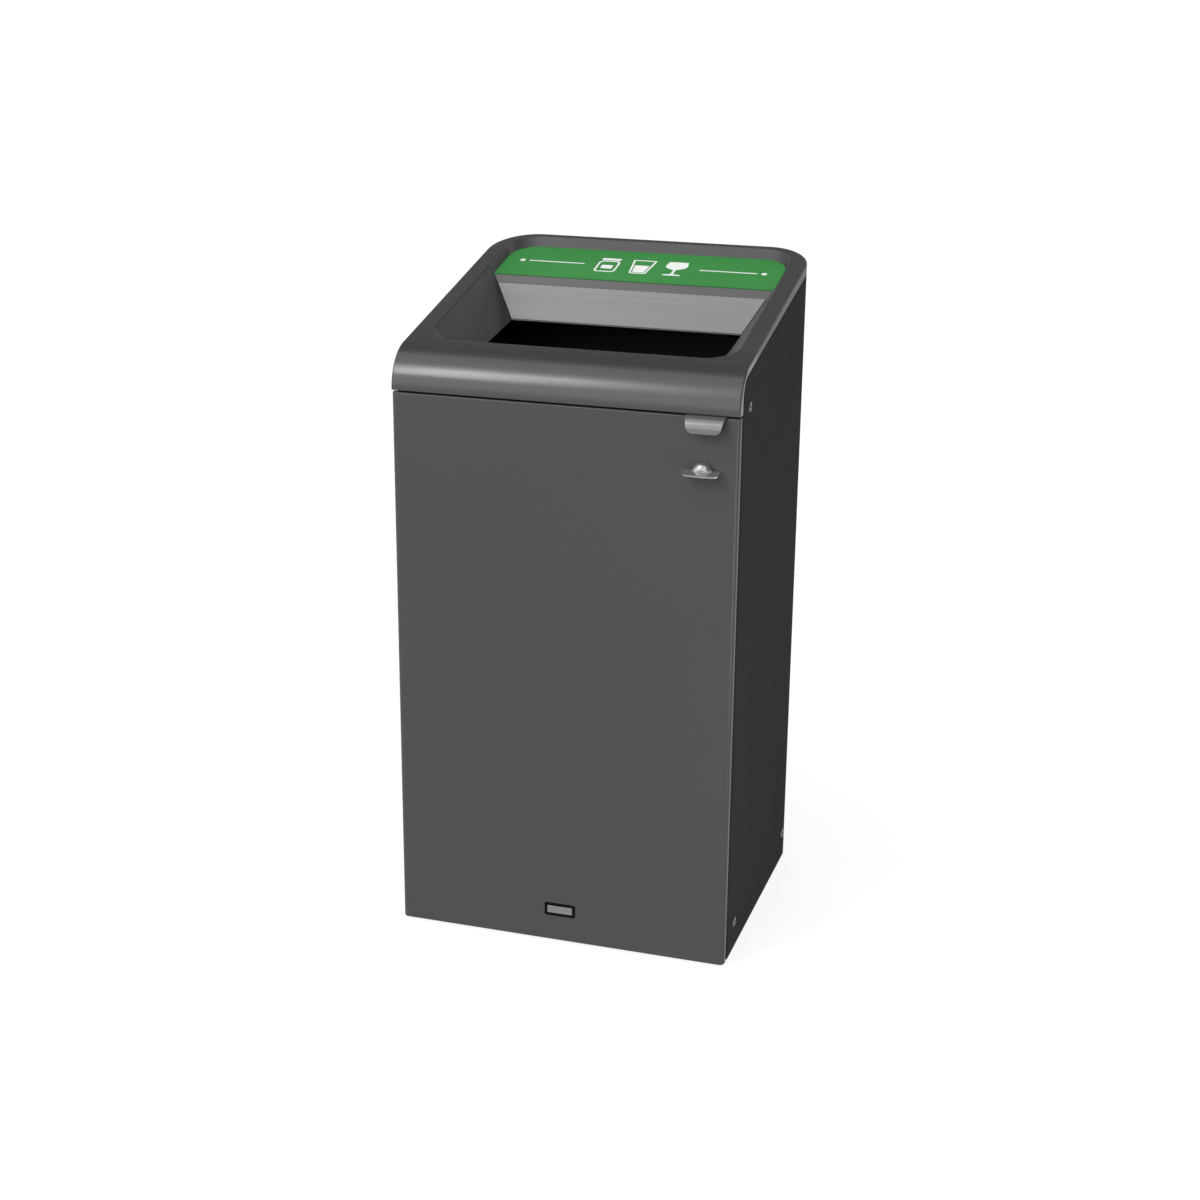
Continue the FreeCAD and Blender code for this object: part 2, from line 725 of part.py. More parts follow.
def lid_outer_edge(edge):
    """The edge that runs round the lid's top from apron to apron."""
    middle = edge.valueAt((edge.FirstParameter + edge.LastParameter) / 2)
    if along_axis(edge, Vector(1, 0, 0)):
        return near(middle.y, val(BACK)) and near(middle.z, val(rim_at(BACK)))
    if middle.y < val(f"{FRONT} + lid_roll"):
        axis_z = val(f"{rim_at(f'({FRONT} + lid_roll)')} - lid_roll * {LEAN}")
        spoke = math.hypot(middle.y - val(f"{FRONT} + lid_roll"), middle.z - axis_z)
        upright = near(middle.y, val(FRONT)) and along_axis(edge, Vector(0, 0, 1))
        return near(abs(middle.x), val(HALF)) and (near(spoke, val("lid_roll")) or upright)
    return near(middle.z, val(rim_at(str(middle.y))))


def chute_mouth_edge(edge):
    """The edge where the chute's walls meet the lid's sloping top."""
    middle = edge.valueAt((edge.FirstParameter + edge.LastParameter) / 2)
    in_reach = near(abs(middle.x), val(CHUTE_HALF)) or abs(middle.x) < val(CHUTE_HALF)
    in_run = val(CHUTE_START) - 1e-3 < middle.y < val(CHUTE_BACK) - 1e-3
    return in_reach and in_run and near(middle.z, val(rim_at(str(middle.y))))


def lid_block(body, name, inset, low):
    """A block with the lid's plan and its rolled sloping top, smaller by an inset on every side."""
    half = f"({HALF} - {inset})"
    front = f"({FRONT} + {inset})"
    rear = f"({BACK} - {inset})"
    corner = f"(corner_radius - {inset})"
    plan = new_sketch(body, f"{name}_plan", "XY_Plane", lift=low)
    outline(plan, (
        (f"-{half}", front),
        (half, front),
        (half, rear, corner),
        (f"-{half}", rear, corner),
    ))
    pad(body, f"{name}_block", plan, f"{rim_at(BACK)} + lid_wall - {low}")
    drop = f"{inset} * {LEAN}"
    outer = f"({front} - lid_roll)"
    beyond = f"({rear} + lid_roll)"
    over = f"({rim_at(BACK)} + lid_roll)"
    under = f"({rim_at(front)} - {drop} - lid_roll)"
    top = new_sketch(body, f"{name}_top", "YZ_Plane")
    outline(top, (
        (front, under),
        (front, f"({rim_at(front)} - {drop})", f"(lid_roll - {inset})"),
        (beyond, f"({rim_at(beyond)} - {drop})"),
        (beyond, over),
        (outer, over),
        (outer, under),
    ))
    pocket(body, f"{name}_top_cut", top, THROUGH, both=True)


def lid_hood():
    body = new_body("lid_hood")
    lid_block(body, "lid", "0", LID_BOTTOM)
    apron_back = f"({SHELL_FRONT} - seam)"
    beyond = f"({BACK} + lid_roll)"
    below = f"({LID_BOTTOM} - lid_roll)"
    underside = new_sketch(body, "lid_underside", "YZ_Plane")
    outline(underside, (
        (apron_back, below),
        (beyond, below),
        (beyond, f"({seam_at(beyond)} + seam / 2)"),
        (apron_back, f"({seam_at(apron_back)} + seam / 2)", "(shell_nose + seam)"),
    ))
    pocket(body, "lid_underside_cut", underside, THROUGH, both=True)
    room = new_body("lid_room")
    lid_block(room, "lid_room", "lid_wall", f"({LID_BOTTOM} - lid_wall)")
    void = body.newObject("PartDesign::Boolean", "lid_inside")
    void.Type = "Cut"
    void.setObjects([room])
    doc.recompute()
    fillet(body, "lid_top_edge", "lid_edge", lid_outer_edge)
    chute = body.newObject("PartDesign::AdditiveLoft", "chute_walls")
    mouth, throat = chute_sections(body, "chute_outer", "lid_wall")
    chute.Profile = mouth
    chute.Sections = [throat]
    chute.Ruled = True
    doc.recompute()
    opening = body.newObject("PartDesign::SubtractiveLoft", "chute_opening")
    mouth, throat = chute_sections(body, "chute_inner", "0")
    opening.Profile = mouth
    opening.Sections = [throat]
    opening.Ruled = True
    doc.recompute()
    fillet(body, "chute_soft_edge", "chute_lip", chute_mouth_edge)
    shelf = sign_sketch(body, "sign_shelf_plan", SHELF_DEPTH, "(bevel_side + lid_wall)", "bevel_run", "0")
    pad(body, "sign_shelf", shelf, f"{SHELF_DEPTH} - lid_wall / 2")
    floor = sign_sketch(body, "sign_floor_plan", SEAT_DEPTH, "sign_fit", "sign_fit", "sign_overhang")
    brim = sign_sketch(body, "sign_brim_plan", "-bevel_rise", "bevel_side", "bevel_run", "sign_overhang")
    seat = body.newObject("PartDesign::SubtractiveLoft", "sign_seat")
    seat.Profile = floor
    seat.Sections = [brim]
    seat.Ruled = True
    doc.recompute()
    return body


def sign_plate():
    body = new_body("sign_plate")
    plan = sign_sketch(body, "sign_plan", SEAT_DEPTH, "0", "0", "0")
    pad(body, "sign_board", plan, "sign_thick")
    return body


def door_panel():
    body = new_body("door_panel")
    face = new_sketch(body, "door_face", "XZ_Plane", lift=f"-{DOOR_BACK}")
    outline(face, rectangle(f"-{HALF}", "stand", HALF, DOOR_TOP))
    pad(body, "door_block", face, "door_thick")
    fillet(body, "door_side_edges", "door_edge", upright_at(FRONT))
    front_y = val(FRONT)
    fillet(
        body, "door_end_edges", "door_lip",
        lambda edge: along_axis(edge, Vector(1, 0, 0)) and near(edge.CenterOfMass.y, front_y),
    )
    back_y = val(DOOR_BACK)
    hollow(body, "door_skin", "sheet", lambda side: near(side.BoundBox.YMin, back_y))
    frame = new_sketch(body, "door_frame", "XZ_Plane", lift=f"-{DOOR_BACK}")
    outline(frame, rectangle(f"-{HALF}", "stand", HALF, DOOR_TOP))
    inner = f"({HALF} - door_flange)"
    outline(frame, rectangle(f"-{inner}", "(stand + door_flange)", inner, f"({DOOR_TOP} - door_flange)"))
    pad(body, "door_return", frame, "sheet")
    barrel = new_sketch(body, "door_latch_hole", "XZ_Plane", lift=f"-{DOOR_BACK}")
    circles(barrel, [(LATCH_X, LATCH_Z)], "barrel_radius + running_fit")
    pocket(body, "door_latch_cut", barrel, "2 * door_thick", reverse=True)
    rivets = new_sketch(body, "door_rivet_holes", "XZ_Plane", lift=f"-{DOOR_BACK}")
    circles(rivets, DOOR_RIVETS, "rivet_radius + running_fit")
    pocket(body, "door_rivet_cut", rivets, "2 * sheet", reverse=True)
    return body


def door_stiffener():
    body = new_body("door_stiffener")
    skin = f"({FRONT} + sheet)"
    crown = f"({skin} + stiffener_deep)"
    section = new_sketch(body, "stiffener_section", "XY_Plane", lift="stand + stiffener_margin")
    brim = "(stiffener_half + stiffener_brim)"
    outline(section, (
        (f"-{brim}", skin),
        ("-(stiffener_half - sheet)", skin),
        ("-(stiffener_half - sheet)", f"({crown} - sheet)"),
        ("(stiffener_half - sheet)", f"({crown} - sheet)"),
        ("(stiffener_half - sheet)", skin),
        (brim, skin),
        (brim, f"({skin} + sheet)"),
        ("stiffener_half", f"({skin} + sheet)"),
        ("stiffener_half", crown),
        ("-stiffener_half", crown),
        ("-stiffener_half", f"({skin} + sheet)"),
        (f"-{brim}", f"({skin} + sheet)"),
    ))
    pad(body, "stiffener_hat", section, "door_height - 2 * stiffener_margin")
    return body


def hinge_leaf(label, low_y, first, rivets):
    """One leaf of the hinge, with every other knuckle."""
    body = new_body(label)
    high_y = f"({low_y} + leaf_thick)"
    root = f"({HINGE_X} + knuckle_radius + knuckle_play)"
    plate = new_sketch(body, f"{label}_plate", "XY_Plane", lift=HINGE_LOW)
    outline(plate, rectangle(root, low_y, f"({HINGE_X} + leaf_width)", high_y))
    pad(body, f"{label}_sheet", plate, HINGE_LENGTH)
    ring = new_sketch(body, f"{label}_ring", "XY_Plane", lift=knuckle_span(first))
    circles(ring, [(HINGE_X, HINGE_Y)], "knuckle_radius")
    knuckle = pad(body, f"{label}_knuckle", ring, f"{KNUCKLE_PITCH} - knuckle_play")
    strip = new_sketch(body, f"{label}_strip", "XY_Plane", lift=knuckle_span(first))
    outline(strip, rectangle(HINGE_X, low_y, f"({root} + leaf_thick)", high_y))
    bridge = pad(body, f"{label}_bridge", strip, f"{KNUCKLE_PITCH} - knuckle_play")
    pattern = body.newObject("PartDesign::LinearPattern", f"{label}_knuckles")
    pattern.Originals = [knuckle, bridge]
    pattern.Direction = (origin_feature(body, "Z_Axis"), [""])
    pattern.Occurrences = KNUCKLES // 2
    bind(pattern, Length=f"{KNUCKLE_PITCH} * {KNUCKLES - 2}")
    body.Tip = pattern
    doc.recompute()
    bore = new_sketch(body, f"{label}_bore", "XY_Plane", lift=HINGE_LOW)
    circles(bore, [(HINGE_X, HINGE_Y)], "pin_radius + running_fit")
    pocket(body, f"{label}_bore_cut", bore, HINGE_LENGTH, reverse=True)
    holes = new_sketch(body, f"{label}_holes", "XZ_Plane", lift=f"-{high_y}")
    circles(holes, rivets, "rivet_radius + running_fit")
    pocket(body, f"{label}_hole_cut", holes, "2 * leaf_thick", reverse=True)
    return body


def hinge_rod():
    rod = cylinder("hinge_rod", "pin_radius", HINGE_LENGTH, HINGE_X, HINGE_Y, HINGE_LOW, (0, 0, 1))
    rod.Label = "hinge_rod"
    return rod


def hinge_rivets(label, spots, seat, towards):
    members = []
    for i, (x, z) in enumerate(spots):
        members.append(screw(
            f"{label}_{i}", (x, seat, z), towards,
            "rivet_head_radius", "rivet_head", "rivet_radius", "leaf_thick + sheet + rivet_tail",
        ))
    return group(label, members)


def pull_tab():
    """A visor of bent sheet: a block with a rolled edge, cut away behind its skin."""
    body = new_body("pull_tab")
    seat = f"({FRONT} + tab_seat)"
    nose = f"({FRONT} - tab_reach)"
    top = f"({DOOR_TOP} + tab_thick)"
    low = f"({DOOR_TOP} - tab_drop)"
    wide = "(tab_width / 2)"
    narrow = "(tab_width / 2 - tab_taper)"
    face = new_sketch(body, "tab_face", "XZ_Plane", lift=f"-{seat}", along=TAB_X)
    outline(face, (
        (f"-{narrow}", low, "tab_round"),
        (narrow, low, "tab_round"),
        (wide, top),
        (f"-{wide}", top),
    ))
    pad(body, "tab_block", face, f"{seat} - {nose}")
    fillet(body, "tab_roll", "tab_bend", across_at(nose, top))
    behind = new_sketch(body, "tab_behind", "YZ_Plane")
    inner = f"({nose} + tab_thick)"
    beyond = f"({seat} + tab_thick)"
    below = f"({low} - tab_thick)"
    outline(behind, (
        (inner, below), (beyond, below), (beyond, DOOR_TOP), (inner, DOOR_TOP, "(tab_bend - tab_thick)"),
    ))
    pocket(body, "tab_hollow", behind, THROUGH, both=True)
    return body


def latch_sketch(body, name):
    """A sketch whose X axis is the latch's own axis."""
    return new_sketch(body, name, "YZ_Plane", lift=LATCH_X, up=LATCH_Z)


def latch_barrel():
    body = new_body("latch_barrel")
    bore = "(shaft_radius + running_fit)"
    inner = f"({DOOR_BACK} - sheet)"
    outline(latch_sketch(body, "barrel_half"), (
        (ROSE_FRONT, bore),
        (ROSE_FRONT, "rose_radius", "rose_thick / 2"),
        (FRONT, "rose_radius"),
        (FRONT, "barrel_radius"),
        (inner, "barrel_radius"),
        (inner, bore),
    ))
    revolve(body, "barrel_turn", body.Group[-1])
    return body


def thumb_turn():
    """A shaft and hub, a half dome above the hub and a sloping wing in front of it."""
    body = new_body("thumb_turn")
    nose = f"({DOME_BASE} - hub_length)"
    tail = f"({CAM_BACK} - running_fit)"
    well = f"({tail} - cam_screw_length - running_fit)"
    outline(latch_sketch(body, "turn_half"), (
        (nose, "0"),
        (nose, "hub_radius"),
        (DOME_BASE, "hub_radius"),
        (DOME_BASE, "shaft_radius"),
        (tail, "shaft_radius"),
        (tail, "cam_screw_radius + running_fit"),
        (well, "cam_screw_radius + running_fit"),
        (well, "0"),
    ))
    revolve(body, "turn_shaft", body.Group[-1])
    dome = new_sketch(body, "dome_half", "XY_Plane", lift=f"{LATCH_Z} - dome_low", along=LATCH_X)
    outline(dome, (
        ("0", f"({DOME_BASE} - dome_length)"),
        ("dome_radius", f"({DOME_BASE} - dome_length)", "dome_round"),
        ("dome_radius", DOME_BASE),
        ("0", DOME_BASE),
    ))
    cap = body.newObject("PartDesign::Revolution", "turn_dome")
    cap.Profile = dome
    cap.ReferenceAxis = (dome, ["V_Axis"])
    cap.Angle = 180
    cap.Reversed = True
    doc.recompute()
    root = f"({DOME_BASE} - wing_root)"
    wing = new_sketch(
        body, "wing_plan", "XY_Plane", lift=LATCH_Z, along=LATCH_X, up=root, tilt="wing_tilt",
    )
    half = "(wing_width / 2)"
    softened = f"(wing_bow_round * (sqrt(1 + (wing_bow / {half}) ^ 2) - 1))"
    reach = f"({root} - {FRONT} + latch_reach - wing_thick / 2 * sin(wing_tilt))"
    tip = f"(-{reach} / cos(wing_tilt) - {softened})"
    outline(wing, (
        (f"-{half}", f"({tip} + wing_bow)", "wing_round"),
        ("0", tip, "wing_bow_round"),
        (half, f"({tip} + wing_bow)", "wing_round"),
        (half, "0"),
        (f"-{half}", "0"),
    ))
    pad(body, "turn_wing", wing, "wing_thick", both=True)
    return body


def latch_nut():
    place = (LATCH_X, f"({FRONT} + sheet)", LATCH_Z)
    bore = "(barrel_radius + running_fit)"
    feature = nut("latch_nut", place, (0, 1, 0), "latch_nut_radius", "latch_nut_thick", bore)
    feature.Label = "latch_nut"
    return feature


def latch_cam():
    body = new_body("latch_cam")
    arm = new_sketch(body, "cam_outline", "XZ_Plane", lift=f"-{CAM_BACK}")
    left = f"({LATCH_X} - cam_width / 2)"
    right = f"({LATCH_X} + cam_width / 2)"
    low = f"({LATCH_Z} - cam_length)"
    high = f"({LATCH_Z} + cam_width / 2)"
    outline(arm, rectangle(left, low, right, high, "cam_round"))
    circles(arm, [(LATCH_X, LATCH_Z)], "shaft_radius + running_fit")
    pad(body, "cam_arm", arm, "cam_thick")
    return body


def cam_screw():
    place = (LATCH_X, CAM_BACK, LATCH_Z)
    feature = screw(
        "cam_screw", place, (0, -1, 0),
        "cam_screw_head_radius", "cam_screw_head", "cam_screw_radius", "cam_screw_length",
    )
    feature.Label = "cam_screw"
    return feature


def strike_plate():
    body = new_body("strike_plate")
    face = new_sketch(body, "strike_face", "XZ_Plane", lift=f"-({FLANGE_BACK} + strike_thick)")
    edge = f"({HALF} - front_flange)"
    outline(face, rectangle(
        edge, f"({LATCH_Z} - strike_height / 2)",
        f"({edge} + strike_width)", f"({LATCH_Z} + strike_height / 2)",
    ))
    pad(body, "strike_block", face, "strike_thick")
    return body


def door_bumpers():
    place_x = f"({HALF} - bumper_inset)"
    members = []
    for i, z in enumerate((f"({PAN_HIGH} + bumper_rise)", f"({DOOR_TOP} - bumper_high_drop)")):
        members.append(cylinder(
            f"door_bumper_{i}", "bumper_radius", "hinge_gap - inner_fit",
            place_x, SHELL_FRONT, z, (0, -1, 0),
        ))
    return group("door_bumpers", members)


def blank_badge():
    body = new_body("blank_badge")
    face = new_sketch(body, "badge_face", "XZ_Plane", lift=f"-{FRONT}")
    outline(face, rectangle(
        "-badge_width / 2", "badge_height_up - badge_height / 2",
        "badge_width / 2", "badge_height_up + badge_height / 2", "badge_round",
    ))
    pad(body, "badge_block", face, "badge_thick")
    return body


def side_screws():
    members = []
    for side in SIDES:
        for i, (y, z) in enumerate(SIDE_SCREWS):
            members.append(screw(
                f"side_screw_{side + 1}_{i}", (f"{side} * {HALF}", y, z), (-side, 0, 0),
                "screw_head_radius", "screw_head", "screw_radius", "screw_length", "screw_crown_radius",
            ))
    return group("side_screws", members)


def side_nuts():
    members = []
    walls = ("rail_wall", "pan_wall", "pan_wall")
    for side in SIDES:
        for i, (y, z) in enumerate(SIDE_SCREWS):
            seat = f"{side} * ({INNER_HALF} - {walls[i]})"
            members.append(nut(
                f"side_nut_{side + 1}_{i}", (seat, y, z), (-side, 0, 0),
                "screw_nut_radius", "screw_nut", "screw_radius + running_fit",
            ))
    return group("side_nuts", members)


def lid_bosses(body):
    """Round bosses under the lid that stand on the rails, each drilled for its screw."""
    for i, (x, y, z) in enumerate(LID_FIXINGS):
        ring = new_sketch(body, f"boss_plan_{i}", "XY_Plane", lift=z)
        circles(ring, [(x, y)], "boss_radius")
        boss = body.newObject("PartDesign::Pad", f"boss_{i}")
        boss.Profile = ring
        boss.Type = "UpToFirst"
        doc.recompute()
        hole = new_sketch(body, f"boss_hole_{i}", "XY_Plane", lift=z)
        circles(hole, [(x, y)], "lid_screw_radius + running_fit")
        pocket(body, f"boss_drill_{i}", hole, "lid_screw_length", reverse=True)


def lid_screws():
    members = []
    for i, (x, y, z) in enumerate(LID_FIXINGS):
        members.append(screw(
            f"lid_screw_{i}", (x, y, f"({z} - rail_wall)"), (0, 0, 1),
            "lid_screw_head_radius", "lid_screw_head", "lid_screw_radius", "lid_screw_length",
        ))
    return group("lid_screws", members)


def floor_glides():
    members = []
    for i, (x, y) in enumerate(GLIDES):
        members.append(screw(
            f"floor_glide_{i}", (x, y, PAN_FLOOR), (0, 0, 1),
            "glide_radius", PAN_FLOOR, "stud_radius", "stud_length",
        ))
    return group("floor_glides", members)


def glide_nuts():
    members = []
    for i, (x, y) in enumerate(GLIDES):
        members.append(nut(
            f"glide_nut_{i}", (x, y, PAN_TOP_FACE), (0, 0, 1),
            "glide_nut_radius", "glide_nut", "stud_radius + running_fit",
        ))
    return group("glide_nuts", members)


def chute_plate():
    body = new_body("chute_plate")
    rise = f"({rim_at(CHUTE_BACK)} - {FOOT_Z})"
    run = f"({CHUTE_BACK} - {THROAT_END})"
    wall_length = f"sqrt({rise} ^ 2 + {run} ^ 2)"
    spread = f"(({CHUTE_HALF} - {THROAT_HALF}) / {wall_length})"
    tilt = f"atan({rise} / {run})"
    face = new_sketch(body, "plate_face", "XY_Plane", lift=FOOT_Z, up=THROAT_END, tilt=tilt)
    length = f"({wall_length} - plate_head)"
    low = f"({THROAT_HALF} + plate_edge * {spread} - plate_side)"
    high = f"({THROAT_HALF} + {length} * {spread} - plate_side)"
    outline(face, (
        (f"-{low}", "plate_edge"),
        (low, "plate_edge"),
        (high, length),
        (f"-{high}", length),
    ))
    pad(body, "plate_sheet", face, "plate_thick")
    return body


def liner_loop(sketch, half_x, half_y):
    return outline(sketch, rectangle(
        f"-({half_x})", f"({LINER_Y} - ({half_y}))", half_x, f"({LINER_Y} + ({half_y}))", "liner_round",
    ))


def liner():
    body = new_body("liner")
    tub = body.newObject("PartDesign::AdditiveLoft", "liner_tub")
    foot = new_sketch(body, "liner_foot", "XY_Plane", lift=PAN_TOP_FACE)
    mouth = new_sketch(body, "liner_mouth", "XY_Plane", lift=LINER_TOP)
    tub.Profile = liner_loop(foot, f"({LINER_TOP_X} - liner_taper_x)", f"({LINER_TOP_Y} - liner_taper_y)")
    tub.Sections = [liner_loop(mouth, LINER_TOP_X, LINER_TOP_Y)]
    tub.Ruled = True
    doc.recompute()
    room = body.newObject("PartDesign::SubtractiveLoft", "liner_room")
    floor = new_sketch(body, "liner_floor", "XY_Plane", lift=f"{PAN_TOP_FACE} + liner_wall")
    brim = new_sketch(body, "liner_brim", "XY_Plane", lift=LINER_TOP)
    inner_x = f"({LINER_TOP_X} - liner_wall)"
    inner_y = f"({LINER_TOP_Y} - liner_wall)"
    room.Profile = liner_loop(floor, f"({inner_x} - liner_taper_x)", f"({inner_y} - liner_taper_y)")
    room.Sections = [liner_loop(brim, inner_x, inner_y)]
    room.Ruled = True
    doc.recompute()
    rim = new_sketch(body, "liner_rim_plan", "XY_Plane", lift=LINER_TOP)
    liner_loop(rim, f"({LINER_TOP_X} + liner_rim)", f"({LINER_TOP_Y} + liner_rim)")
    liner_loop(rim, inner_x, inner_y)
    pad(body, "liner_rim_band", rim, "liner_rim_thick", reverse=True)
    hand = new_sketch(body, "liner_hand_plan", "YZ_Plane")
    low = f"({LINER_TOP} - hand_hole_drop - hand_hole_height)"
    outline(hand, rectangle(
        f"({LINER_Y} - hand_hole_width / 2)", low,
        f"({LINER_Y} + hand_hole_width / 2)", f"({low} + hand_hole_height)", "hand_hole_round",
    ))
    pocket(body, "liner_hand_holes", hand, THROUGH, both=True)
    return body


def build():
    hood = lid_hood()
    lid_bosses(hood)
    return [
        wrap_shell(),
        base_pan(),
        head_rail(),
        rear_rail(),
        hood,
        chute_plate(),
        sign_plate(),
        door_panel(),
        door_stiffener(),
        hinge_leaf("hinge_leaf_body", f"({SHELL_FRONT} - leaf_thick)", 0, BODY_RIVETS),
        hinge_leaf("hinge_leaf_door", DOOR_BACK, 1, DOOR_RIVETS),
        hinge_rod(),
        hinge_rivets("hinge_rivets_body", BODY_RIVETS, f"({SHELL_FRONT} - leaf_thick)", (0, 1, 0)),
        hinge_rivets("hinge_rivets_door", DOOR_RIVETS, f"({DOOR_BACK} + leaf_thick)", (0, -1, 0)),
        pull_tab(),
        latch_barrel(),
        latch_nut(),
        thumb_turn(),
        latch_cam(),
        cam_screw(),
        strike_plate(),
        door_bumpers(),
        blank_badge(),
        side_screws(),
        side_nuts(),
        lid_screws(),
        floor_glides(),
        glide_nuts(),
        liner(),
    ]


def write(pieces):
    """Writes each sub-part once every object of the document is sound."""
    doc.recompute()
    faults = [item.Name for item in doc.Objects if {"Invalid", "Error"} & set(item.State)]
    faults += [piece.Label for piece in pieces if piece.Shape.isNull() or not piece.Shape.isValid()]
    if faults:
        raise RuntimeError("failed: " + ", ".join(faults))
    os.makedirs("parts", exist_ok=True)
    for piece in pieces:
        piece.Shape.exportStep(f"parts/{piece.Label}.step")
        box = piece.Shape.BoundBox
        print(f"{piece.Label}: {len(piece.Shape.Solids)} solids, {piece.Shape.Volume:.0f} mm3, "
              f"{box.XLength:.1f} x {box.YLength:.1f} x {box.ZLength:.1f}")


write(build())
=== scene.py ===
import json
import math

import bmesh
import bpy
from mathutils import Matrix, Vector


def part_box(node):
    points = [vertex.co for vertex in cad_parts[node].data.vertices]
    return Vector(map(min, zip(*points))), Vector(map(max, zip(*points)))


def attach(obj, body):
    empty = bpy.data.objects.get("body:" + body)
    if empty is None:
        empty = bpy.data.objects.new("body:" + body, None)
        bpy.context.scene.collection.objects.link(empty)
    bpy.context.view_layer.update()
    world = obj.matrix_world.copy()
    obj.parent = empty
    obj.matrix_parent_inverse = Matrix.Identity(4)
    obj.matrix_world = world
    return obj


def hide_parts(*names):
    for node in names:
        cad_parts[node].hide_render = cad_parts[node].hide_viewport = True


# A glass recycling bin: looks, small details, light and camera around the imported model.
# Metres. X runs across, Y from the door to the back, Z up.

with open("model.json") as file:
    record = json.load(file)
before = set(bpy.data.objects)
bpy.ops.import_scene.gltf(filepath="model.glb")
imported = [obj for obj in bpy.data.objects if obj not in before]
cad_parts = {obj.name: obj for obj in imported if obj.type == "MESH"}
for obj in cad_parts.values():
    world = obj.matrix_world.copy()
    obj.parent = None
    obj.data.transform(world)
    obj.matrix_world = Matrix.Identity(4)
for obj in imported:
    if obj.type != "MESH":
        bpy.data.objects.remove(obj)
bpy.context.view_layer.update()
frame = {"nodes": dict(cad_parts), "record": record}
nodes = frame["nodes"]
scene = bpy.context.scene
scene.view_settings.view_transform = "Standard"
MM = 0.001


# Materials

# Most values of a noise pattern lie between these two.
NOISE_LOW = 0.3
NOISE_HIGH = 0.7
# How far a pattern is drawn out: the smaller the number, the longer its lines along that axis.
EVEN = (1.0, 1.0, 1.0)
FLOW_X = (0.04, 1.0, 1.0)
LONG_X = (0.05, 3.0, 3.0)
SOFT_X = (0.2, 1.0, 1.0)
CURL_X = (0.1, 2.0, 2.0)
LONG_Z = (1.0, 1.0, 0.1)


class Shader:
    """A material with one Principled shader and small helpers that wire patterns into it."""

    def __init__(self, name, colour, roughness, metallic=0.0, specular=0.5):
        self.material = bpy.data.materials.new(name)
        self.material.use_nodes = True
        self.tree = self.material.node_tree
        self.bsdf = self.tree.nodes["Principled BSDF"]
        self.colour = colour
        self.roughness = roughness
        self.bsdf.inputs["Base Color"].default_value = (*colour, 1.0)
        self.bsdf.inputs["Roughness"].default_value = roughness
        self.bsdf.inputs["Metallic"].default_value = metallic
        self.bsdf.inputs["Specular IOR Level"].default_value = specular
        self.coords = self.tree.nodes.new("ShaderNodeTexCoord")

    def place(self, stretch=EVEN):
        """Object coordinates in metres, stretched along the axes."""
        mapping = self.tree.nodes.new("ShaderNodeMapping")
        mapping.inputs["Scale"].default_value = stretch
        self.tree.links.new(self.coords.outputs["Object"], mapping.inputs["Vector"])
        return mapping.outputs["Vector"]

    def noise(self, scale, detail, stretch=EVEN):
        texture = self.tree.nodes.new("ShaderNodeTexNoise")
        texture.inputs["Scale"].default_value = scale
        texture.inputs["Detail"].default_value = detail
        self.tree.links.new(self.place(stretch), texture.inputs["Vector"])
        return texture.outputs["Fac"]

    def span(self, value, low, high, start=NOISE_LOW, end=NOISE_HIGH):
        """A pattern's value carried over to the range from low to high."""
        node = self.tree.nodes.new("ShaderNodeMapRange")
        node.inputs["From Min"].default_value = start
        node.inputs["From Max"].default_value = end
        node.inputs["To Min"].default_value = low
        node.inputs["To Max"].default_value = high
        self.tree.links.new(value, node.inputs["Value"])
        return node.outputs["Result"]

    def mottle(self, value, darker, lighter):
        """Base colour that follows a pattern between two multiples of the colour."""
        ramp = self.tree.nodes.new("ShaderNodeValToRGB")
        low, high = ramp.color_ramp.elements
        low.position = NOISE_LOW
        low.color = (*(part * darker for part in self.colour), 1.0)
        high.position = NOISE_HIGH
        high.color = (*(part * lighter for part in self.colour), 1.0)
        self.tree.links.new(value, ramp.inputs["Fac"])
        self.tree.links.new(ramp.outputs["Color"], self.bsdf.inputs["Base Color"])

    def gloss(self, value, spread, worn=None):
        """Roughness that follows a pattern around its mean, and rises along Y behind a worn front."""
        result = self.span(value, self.roughness - spread, self.roughness + spread)
        if worn:
            start, end, rise = worn
            axes = self.tree.nodes.new("ShaderNodeSeparateXYZ")
            self.tree.links.new(self.place(), axes.inputs[0])
            total = self.tree.nodes.new("ShaderNodeMath")
            self.tree.links.new(result, total.inputs[0])
            self.tree.links.new(self.span(axes.outputs["Y"], 0.0, rise, start, end), total.inputs[1])
            result = total.outputs[0]
        self.tree.links.new(result, self.bsdf.inputs["Roughness"])

    def bump(self, value, height):
        """Relief of the surface, laid over any relief that is there already."""
        node = self.tree.nodes.new("ShaderNodeBump")
        node.inputs["Distance"].default_value = height
        self.tree.links.new(value, node.inputs["Height"])
        earlier = self.bsdf.inputs["Normal"].links
        if earlier:
            self.tree.links.new(earlier[0].from_socket, node.inputs["Normal"])
        self.tree.links.new(node.outputs["Normal"], self.bsdf.inputs["Normal"])


def paint(name, colour, roughness, specular):
    """Sprayed semi-matt paint: faint clouds of tone, fine orange peel."""
    shader = Shader(name, colour, roughness, specular=specular)
    shader.mottle(shader.noise(scale=9.0, detail=4.0), darker=0.985, lighter=1.015)
    shader.gloss(shader.noise(scale=26.0, detail=4.0), spread=0.012)
    shader.bump(shader.noise(scale=350.0, detail=2.0), height=0.01 * MM)
    return shader.material


